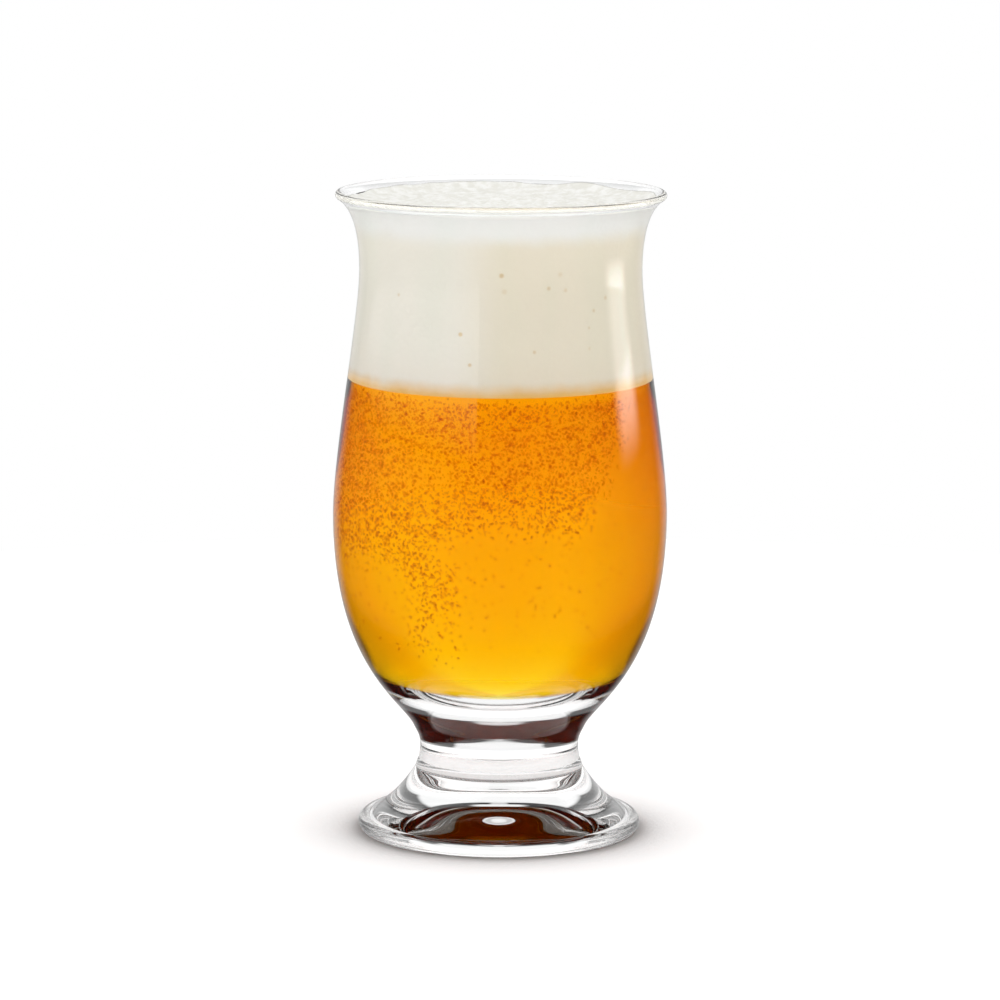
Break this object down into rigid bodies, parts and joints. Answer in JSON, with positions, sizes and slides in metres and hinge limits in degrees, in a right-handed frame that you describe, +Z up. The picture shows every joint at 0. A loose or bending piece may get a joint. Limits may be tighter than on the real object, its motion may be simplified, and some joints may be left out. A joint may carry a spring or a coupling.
{
  "type": "tulip beer glass",
  "caption": "Footed tulip beer glass with a flared rim, full belly, short solid stem and hollow-backed foot, poured with amber beer under a thick head of foam.",
  "frame": {"origin": "middle of the ring that the foot stands on", "axes": "+Z up along the glass's axis of revolution; X and Y are alike, because the glass is round"},
  "size_m": [0.0802, 0.0802, 0.155],
  "materials": {
    "clear_glass": "fire-polished clear glass",
    "amber_beer": "clear amber liquid",
    "beer_foam": "fine matt foam"
  },
  "bodies": {
    "root": {"foot": "clear_glass", "stem": "clear_glass", "bowl": "clear_glass", "beer": "amber_beer", "foam_head": "beer_foam"}
  },
  "joints": []
}
